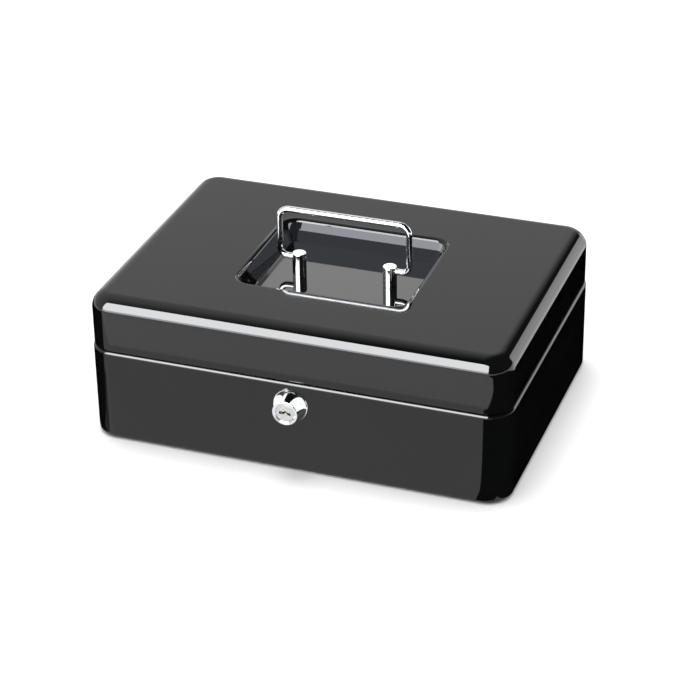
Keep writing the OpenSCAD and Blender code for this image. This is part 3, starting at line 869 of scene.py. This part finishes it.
def one_sided(material):
    """Lets rays through from behind."""
    nodes, links = material.node_tree.nodes, material.node_tree.links
    side = nodes.new("ShaderNodeNewGeometry")
    clear = nodes.new("ShaderNodeBsdfTransparent")
    mix = nodes.new("ShaderNodeMixShader")
    links.new(side.outputs["Backfacing"], mix.inputs[0])
    links.new(nodes["Emission"].outputs["Emission"], mix.inputs[1])
    links.new(clear.outputs["BSDF"], mix.inputs[2])
    links.new(mix.outputs["Shader"], nodes["Material Output"].inputs["Surface"])


def facing_card(name, y, facing, left, right, low, high, strength, colour=(1, 1, 1)):
    """A small card across the Y axis that glows on one side only, its front (-1) or its back (1)."""
    corners = [(left, y, low), (right, y, low), (right, y, high), (left, y, high)]
    mesh = bpy.data.meshes.new(name)
    mesh.from_pydata(corners[::-facing], [], [(0, 1, 2, 3)])
    obj = add_object(name, mesh)
    material, _ = emission(name, colour, strength)
    one_sided(material)
    reflected_only(obj, material)


def floor_card(name, outline, strength):
    card(name, [(x, y, FLOOR_CARD_Z) for x, y in outline], strength)


def upright_card(name, azimuth, distance, width, low, high, corner_r, strength, colour=(1, 1, 1)):
    """A card with round corners that stands round the box. Azimuth 0 is in front and 90 is on the right."""
    a = math.radians(azimuth)
    out = Vector((math.sin(a), -math.cos(a), 0)) * distance
    along = Vector((math.cos(a), math.sin(a), 0))
    middle = (low + high) / 2
    outline = rounded_loop(width / 2, (high - low) / 2, corner_r, 0)
    corners = [out + along * u + Vector((0, 0, middle + v)) for u, v, _ in outline]
    card(name, corners, strength, colour)


def studio_dome():
    """A dome that is bright behind the box on the left and falls off to dark overhead and on the right."""
    radius, steps = 4.0, 24
    towards, offset, darkest, brightest = (-2.2, 1.0, 0), 0.2, 0.02, 0.79
    lowest, highest = -2, 89
    heights = [math.radians(lowest + (highest - lowest) * i / steps) for i in range(steps + 1)]
    profile = [(radius * math.cos(t), radius * math.sin(t)) for t in heights]
    obj = mesh_object("studio_dome", [lathe(profile, (0, 0, 0), "Z", steps=64)])
    material, strength = emission("studio_dome", (1, 1, 1), 1)
    nodes, links = material.node_tree.nodes, material.node_tree.links
    coordinates = nodes.new("ShaderNodeTexCoord")
    direction = nodes.new("ShaderNodeVectorMath")
    direction.operation = "NORMALIZE"
    slope = nodes.new("ShaderNodeVectorMath")
    slope.operation = "DOT_PRODUCT"
    slope.inputs[1].default_value = towards
    glow = nodes.new("ShaderNodeMapRange")
    glow.inputs["From Min"].default_value = offset + darkest
    glow.inputs["From Max"].default_value = offset + brightest
    glow.inputs["To Min"].default_value = darkest
    glow.inputs["To Max"].default_value = brightest
    links.new(coordinates.outputs["Object"], direction.inputs[0])
    links.new(direction.outputs["Vector"], slope.inputs[0])
    links.new(slope.outputs["Value"], glow.inputs["Value"])
    links.new(glow.outputs["Result"], strength)
    reflected_only(obj, material)


def recess_cards():
    """Glowing cards for the recess that show only in reflections, so they paint its reflections. One high up
    behind it is mirrored by the near part of its floor, and one before the far wall by the rest of the floor.
    The far wall mirrors the
    others, which glow a hair in front of it: a painted highlight band over a dim painted reflection, and a
    darker end card on each side of them."""
    floor_z, sky_reach = RECESS_FLOOR_Z, 0.2
    eye = camera_position()
    below = Vector((eye.x, eye.y, 2 * floor_z - eye.z))
    floor_outline = rectangle(-44 * MM, 47 * MM, -41 * MM, 17 * MM)
    floor_points = [Vector((x, y, floor_z)) for x, y in floor_outline]
    # Painted reflection: the near part of the recess floor mirrors this glowing card.
    card("recess_sky", [p + sky_reach * (p - below) for p in floor_points], 2.0)
    y = RECESS_Y + RECESS_HALF_Y - RECESS_RUN - 0.6 * MM
    left, right, end = -43 * MM, 44 * MM, 50 * MM
    band_z, top_z = floor_z + 7.1 * MM, lid_high.z - CARD_GAP
    # Painted reflections: these sheets glow just before the far wall, so the far wall and the far part of the
    # floor mirror them.
    facing_card("recess_back", y, -1, -45 * MM, 45 * MM, floor_z + 0.2 * MM, lid_high.z, 0.42, DIM_BLUE)
    facing_card("far_wall_painted_dim_reflection", y - CARD_GAP, 1, left, right, floor_z + CARD_GAP, band_z, 1.0, DIM_BLUE)
    facing_card("far_wall_painted_highlight_band", y - CARD_GAP, 1, left, right, band_z, top_z, 7.8, PALE_BLUE)
    facing_card("far_wall_painted_dark_end_left", y - CARD_GAP, 1, -end, left, floor_z, top_z, 0.3)
    facing_card("far_wall_painted_dark_end_right", y - CARD_GAP, 1, right, end, floor_z, top_z, 0.3)


def lock_cards():
    """Cards a hair before the front wall that glow only in reflections: two that the lock's cone mirrors as
    painted highlights, and one that the wall mirrors as a painted reflection, hiding the lock's mirror image
    there.
    """
    y = base_low.y - WALL_CARD_GAP
    # Painted highlights on the lock's cone, and a painted reflection on the wall beside the lock.
    facing_card("lock_cone_painted_highlight_left", y, -1, -40 * MM, -9.5 * MM, 42 * MM, 75 * MM, 1.2)
    facing_card("lock_cone_painted_highlight_right", y, -1, 9 * MM, 40 * MM, 42 * MM, 75 * MM, 1.2)
    facing_card("wall_painted_reflection_by_lock", y, 1, -2 * MM, 17 * MM, 45 * MM, SEAM_Z - SHOULDER_R, 0.94)


def studio_cards():
    """Softboxes, and cards on the floor that the enamel and the chrome mirror. The floor cards are painted
    reflections:
    grey, black or bright zones that only the gloss sees, where the camera sees the pale floor.
    """
    upright_card("front_softbox", -16, 1.2, 1.5, 0.26, 1.62, 0.2, 18, (0.97, 0.985, 1))
    upright_card("front_strip", -16, 1.2, 1.5, 0.07, 0.26, 0.02, 8.5, PALE_BLUE)
    upright_card("rear_softbox", 150, 1.5, 0.80, 0.0, 0.56, 0.02, 2.1)
    # Painted reflections: glossy-only zones on the floor, grey, black or bright, where the camera sees the pale
    # floor.
    floor_card("bright_reflection_rear", rectangle(0.196, 1.4, 0.08, 1.5), 1.75)
    floor_card("grey_reflection_front", [(-0.25, -0.188), (0.10, -0.188), (0.107, -0.091), (-0.13, -0.091)], 0.94)
    floor_card("dark_reflection_right", rectangle(0.1255, 0.195, -0.19, 0.40), 0)
    floor_card("dark_reflection_corner", [(0.100, -0.19), (0.1255, -0.19), (0.1255, -0.091), (0.107, -0.091)], 0)
    floor_card("dark_reflection_front", [(0.186, -0.19), (0.20, -0.5), (0.8, -0.5), (0.8, 0.0), (0.196, 0.06)], 0)
    left_outline = [(-0.117, -0.092), (-0.127, -0.08), (-0.127, 0.3), (-0.6, 0.3), (-0.6, -0.5)]
    floor_card("dark_reflection_left", left_outline, 0)


def pale_floor():
    size, z = 5.0, -0.2 * MM
    corners = [(-size, -size, z), (size, -size, z), (size, size, z), (-size, size, z)]
    obj = mesh_object("pale_floor", [(corners, [(0, 1, 2, 3)])])
    material, _, _, shader = new_material("pale_floor")
    shader.inputs["Base Color"].default_value = (0.8, 0.8, 0.8, 1)
    shader.inputs["Roughness"].default_value = 0.9
    shader.inputs["Specular IOR Level"].default_value = 0.0
    obj.data.materials.append(material)


def lighting():
    """An even white surround and a soft lamp nearly overhead, a little behind the box on the left."""
    world = bpy.data.worlds.new("studio")
    world.use_nodes = True
    background = world.node_tree.nodes["Background"]
    background.inputs["Color"].default_value = (1, 1, 1, 1)
    background.inputs["Strength"].default_value = 1.15
    world.cycles_visibility.glossy = False
    bpy.context.scene.world = world
    lamp = bpy.data.lights.new("overhead", "SUN")
    lamp.energy = 2.0
    lamp.angle = math.radians(28)
    obj = bpy.data.objects.new("overhead", lamp)
    obj.rotation_mode = "QUATERNION"
    obj.rotation_quaternion = Vector((0.10, -0.08, -1)).to_track_quat("-Z", "Y")
    obj.visible_glossy = False
    bpy.context.scene.collection.objects.link(obj)
    bpy.context.scene.view_settings.view_transform = "Standard"


def camera():
    az, roll = math.radians(CAMERA_AZIMUTH), math.radians(CAMERA_ROLL)
    back = camera_back()
    level = Vector((math.cos(az), math.sin(az), 0))
    upright = back.cross(level)
    right = level * math.cos(roll) + upright * math.sin(roll)
    up = upright * math.cos(roll) - level * math.sin(roll)
    data = bpy.data.cameras.new("camera")
    data.lens = CAMERA_LENS
    data.sensor_width = 36
    data.clip_start = 0.02
    data.clip_end = 50
    obj = bpy.data.objects.new("camera", data)
    turn = Matrix((right, up, back)).transposed().to_4x4()
    obj.matrix_world = Matrix.Translation(camera_position()) @ turn
    bpy.context.scene.collection.objects.link(obj)
    bpy.context.scene.camera = obj


camera()
lighting()
pale_floor()
studio_dome()
studio_cards()
recess_cards()
lock_cards()

base_pressing()
lid_pressing()
carry_bail()
handle_post(-1, "handle_post_left")
handle_post(1, "handle_post_right")
handle_fasteners()
lock_bezel()
key_plug()
lock_hardware()
hinge_leaf("lower_leaf", "hinge_leaf_base", base_high.y, -1, 0)
hinge_leaf("upper_leaf", "hinge_leaf_lid", lid_high.y, 1, 1)
rivet_row("lower_rivets", "hinge_rivets_base", "base")
rivet_row("upper_rivets", "hinge_rivets_lid", "lid")
hinge_rod()
tray_moulding()
tray_parts()
